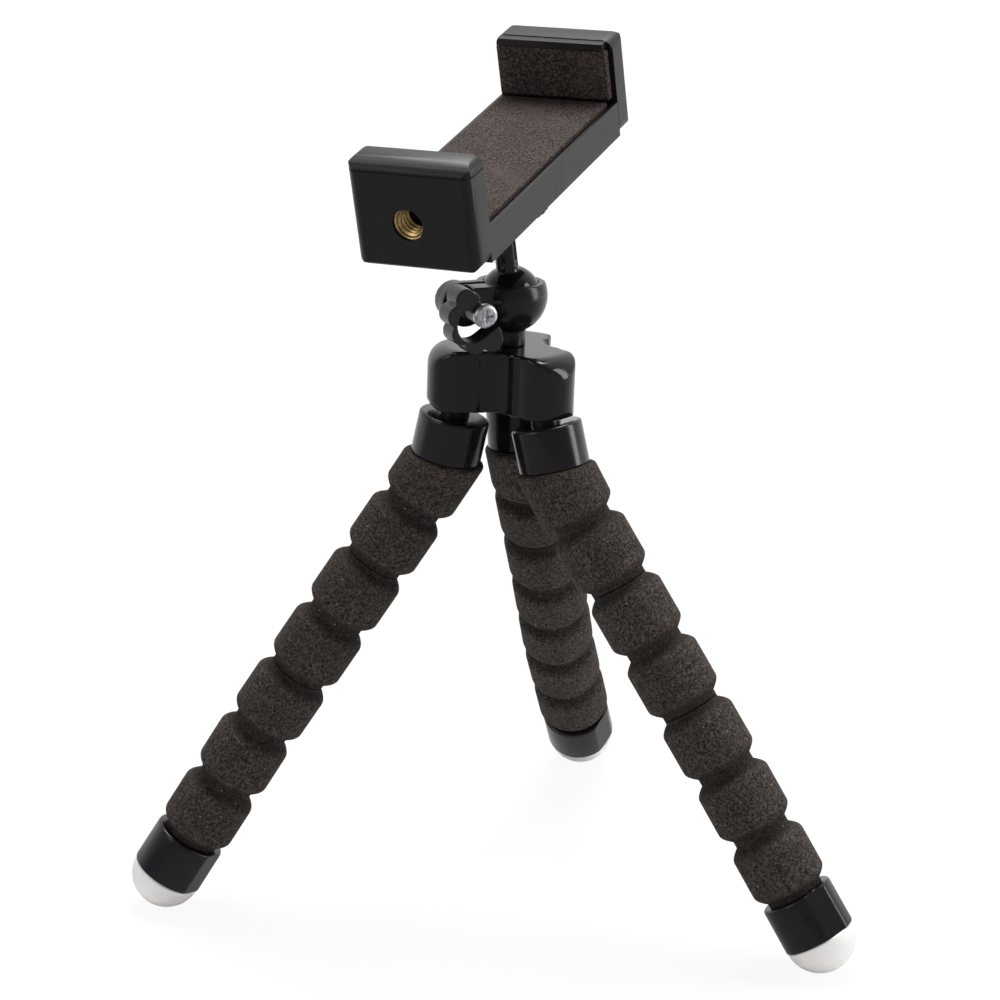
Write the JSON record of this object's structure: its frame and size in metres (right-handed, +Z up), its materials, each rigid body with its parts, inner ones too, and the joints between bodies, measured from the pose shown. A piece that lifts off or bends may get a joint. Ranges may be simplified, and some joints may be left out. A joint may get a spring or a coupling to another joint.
{
  "type": "phone tripod",
  "caption": "Small phone tripod with bendable beaded foam legs, a trefoil hub, a lockable ball head and a spring-loaded phone clamp",
  "frame": {"origin": "middle of the bounding box on the ground, under the hub", "axes": "+Z up, +X to the right and +Y away from the viewer as the picture shows the tripod standing on its three feet"},
  "size_m": [0.167, 0.1314, 0.2019],
  "materials": {
    "hub_plastic": "moulded black ABS, glossy",
    "collar_plastic": "moulded black, polished",
    "pin_plastic": "moulded black nylon",
    "head_plastic": "moulded black, soft gloss",
    "ball_plastic": "moulded black, high gloss",
    "clamp_plastic": "moulded black, satin",
    "foam_sleeve": "closed-cell foam, fine open skin",
    "foam_pad": "closed-cell foam sheet, sliced face",
    "foot_rubber": "white translucent silicone, satin",
    "insert_brass": "turned and tapped",
    "zinc_screw": "zinc plated steel",
    "leg_wire": "soft drawn wire",
    "spring_steel": "spring wire, close wound"
  },
  "bodies": {
    "hub": {"hub_body": "hub_plastic", "hub_base_cover": "hub_plastic", "hub_cover_screws": "zinc_screw", "head_screw": "zinc_screw"},
    "left_pin": {"left_leg_pin": "pin_plastic"},
    "left_top_length": {"left_collar": "collar_plastic", "left_foam_1": "foam_sleeve", "left_wire_1": "leg_wire"},
    "left_upper_length": {"left_foam_2": "foam_sleeve", "left_wire_2": "leg_wire"},
    "left_lower_length": {"left_foam_3": "foam_sleeve", "left_wire_3": "leg_wire"},
    "left_foot_length": {"left_foam_4": "foam_sleeve", "left_wire_4": "leg_wire", "left_end_cap": "collar_plastic", "left_foot": "foot_rubber"},
    "right_pin": {"right_leg_pin": "pin_plastic"},
    "right_top_length": {"right_collar": "collar_plastic", "right_foam_1": "foam_sleeve", "right_wire_1": "leg_wire"},
    "right_upper_length": {"right_foam_2": "foam_sleeve", "right_wire_2": "leg_wire"},
    "right_lower_length": {"right_foam_3": "foam_sleeve", "right_wire_3": "leg_wire"},
    "right_foot_length": {"right_foam_4": "foam_sleeve", "right_wire_4": "leg_wire", "right_end_cap": "collar_plastic", "right_foot": "foot_rubber"},
    "rear_pin": {"rear_leg_pin": "pin_plastic"},
    "rear_top_length": {"rear_collar": "collar_plastic", "rear_foam_1": "foam_sleeve", "rear_wire_1": "leg_wire"},
    "rear_upper_length": {"rear_foam_2": "foam_sleeve", "rear_wire_2": "leg_wire"},
    "rear_lower_length": {"rear_foam_3": "foam_sleeve", "rear_wire_3": "leg_wire"},
    "rear_foot_length": {"rear_foam_4": "foam_sleeve", "rear_wire_4": "leg_wire", "rear_end_cap": "collar_plastic", "rear_foot": "foot_rubber"},
    "cup": {"ball_cup": "head_plastic", "lock_nut": "zinc_screw"},
    "lever": {"lock_lever": "head_plastic", "lock_screw": "zinc_screw"},
    "ball": {"ball_stem": "ball_plastic"},
    "wheel": {"lock_wheel": "ball_plastic"},
    "clamp": {"clamp_body": "clamp_plastic", "clamp_base_plate": "clamp_plastic", "base_plate_screws": "zinc_screw", "floor_pad": "foam_pad", "fixed_jaw_pad": "foam_pad", "end_insert": "insert_brass", "base_insert": "insert_brass", "spring_pins": "zinc_screw", "clamp_springs": "spring_steel"},
    "jaw": {"sliding_jaw": "clamp_plastic", "sliding_jaw_pad": "foam_pad"}
  },
  "joints": [
    {"name": "left_leg_tilt", "type": "hinge", "parent": "hub", "child": "left_pin", "pos_m": [-0.006, -0.02158, 0.12536], "axis": [-0.254, 0.9659, -0.0502], "range_deg": [-12.09, 7.41]},
    {"name": "left_leg_swivel", "type": "hinge", "parent": "left_pin", "child": "left_top_length", "pos_m": [-0.006, -0.02158, 0.12536], "axis": [-0.2158, -0.0215, -0.9762], "range_deg": [-35, 35]},
    {"name": "left_bend_1", "type": "hinge", "parent": "left_top_length", "child": "left_upper_length", "pos_m": [-0.0166, -0.02221, 0.0994], "axis": [-0.0419, 0.9991, 0], "range_deg": [-20.5, 19.5]},
    {"name": "left_bend_2", "type": "hinge", "parent": "left_upper_length", "child": "left_lower_length", "pos_m": [-0.03442, -0.02296, 0.07235], "axis": [0.0375, -0.9993, 0], "range_deg": [-20, 20]},
    {"name": "left_bend_3", "type": "hinge", "parent": "left_lower_length", "child": "left_foot_length", "pos_m": [-0.05225, -0.02355, 0.0453], "axis": [-0.0417, 0.9991, 0], "range_deg": [-18.49, 21.49]},
    {"name": "right_leg_tilt", "type": "hinge", "parent": "hub", "child": "right_pin", "pos_m": [0.01236, -0.02663, 0.12503], "axis": [-0.7101, -0.7008, 0.0677], "range_deg": [-9.49, 2.51]},
    {"name": "right_leg_swivel", "type": "hinge", "parent": "right_pin", "child": "right_top_length", "pos_m": [0.01236, -0.02663, 0.12503], "axis": [0.1993, -0.1793, -0.9634], "range_deg": [-35, 35]},
    {"name": "right_bend_1", "type": "hinge", "parent": "right_top_length", "child": "right_upper_length", "pos_m": [0.02157, -0.03143, 0.09878], "axis": [-0.3482, -0.9374, 0], "range_deg": [-23.54, 16.34]},
    {"name": "right_bend_2", "type": "hinge", "parent": "right_upper_length", "child": "right_lower_length", "pos_m": [0.03777, -0.03791, 0.07148], "axis": [0.4123, 0.911, 0], "range_deg": [-18.31, 21.31]},
    {"name": "right_bend_3", "type": "hinge", "parent": "right_lower_length", "child": "right_foot_length", "pos_m": [0.05398, -0.0461, 0.04465], "axis": [-0.4586, -0.8886, 0], "range_deg": [-19.39, 20.59]},
    {"name": "rear_leg_tilt", "type": "hinge", "parent": "hub", "child": "rear_pin", "pos_m": [0.00752, -0.00823, 0.12407], "axis": [0.9641, -0.2651, -0.0174], "range_deg": [-2, 15.7]},
    {"name": "rear_leg_swivel", "type": "hinge", "parent": "rear_pin", "child": "rear_top_length", "pos_m": [0.00752, -0.00823, 0.12407], "axis": [0.0524, -0.0614, -0.9967], "range_deg": [-35, 35]},
    {"name": "rear_bend_1", "type": "hinge", "parent": "rear_top_length", "child": "rear_upper_length", "pos_m": [0.01015, -0.00253, 0.09748], "axis": [0.9655, -0.2604, 0], "range_deg": [-20.59, 19.39]},
    {"name": "rear_bend_2", "type": "hinge", "parent": "rear_upper_length", "child": "rear_lower_length", "pos_m": [0.01435, 0.01359, 0.06969], "axis": [-0.9774, 0.2115, 0], "range_deg": [-15.14, 24.55]},
    {"name": "rear_bend_3", "type": "hinge", "parent": "rear_lower_length", "child": "rear_foot_length", "pos_m": [0.01766, 0.03217, 0.04336], "axis": [0.9777, -0.2099, 0], "range_deg": [-20.66, 19.06]},
    {"name": "cup_turn", "type": "hinge", "parent": "hub", "child": "cup", "pos_m": [0.00463, -0.01882, 0.12482], "axis": [0.0348, 0.061, 0.9975], "range_deg": [-175, 175]},
    {"name": "lever_turn", "type": "hinge", "parent": "cup", "child": "lever", "pos_m": [-0.00486, -0.02208, 0.14641], "axis": [0.4084, -0.9118, 0.0415], "range_deg": [-80, 12]},
    {"name": "ball_tilt", "type": "hinge", "parent": "cup", "child": "ball", "pos_m": [0.00541, -0.01744, 0.14727], "axis": [0.8374, -0.5466, 0.0042], "range_deg": [-52.75, 23.25]},
    {"name": "wheel_turn", "type": "hinge", "parent": "ball", "child": "wheel", "pos_m": [0.00541, -0.01744, 0.14727], "axis": [-0.1052, -0.1537, 0.9825], "continuous": true},
    {"name": "clamp_turn", "type": "hinge", "parent": "ball", "child": "clamp", "pos_m": [0.00541, -0.01744, 0.14727], "axis": [-0.1052, -0.1537, 0.9825], "continuous": true},
    {"name": "jaw_slide", "type": "slide", "parent": "clamp", "child": "jaw", "axis": [0.4167, 0.8903, 0.1839], "range_m": [0, 0.026], "stiffness_N_per_m": 150, "springref_m": -0.02, "deforming": ["clamp_springs"]}
  ]
}
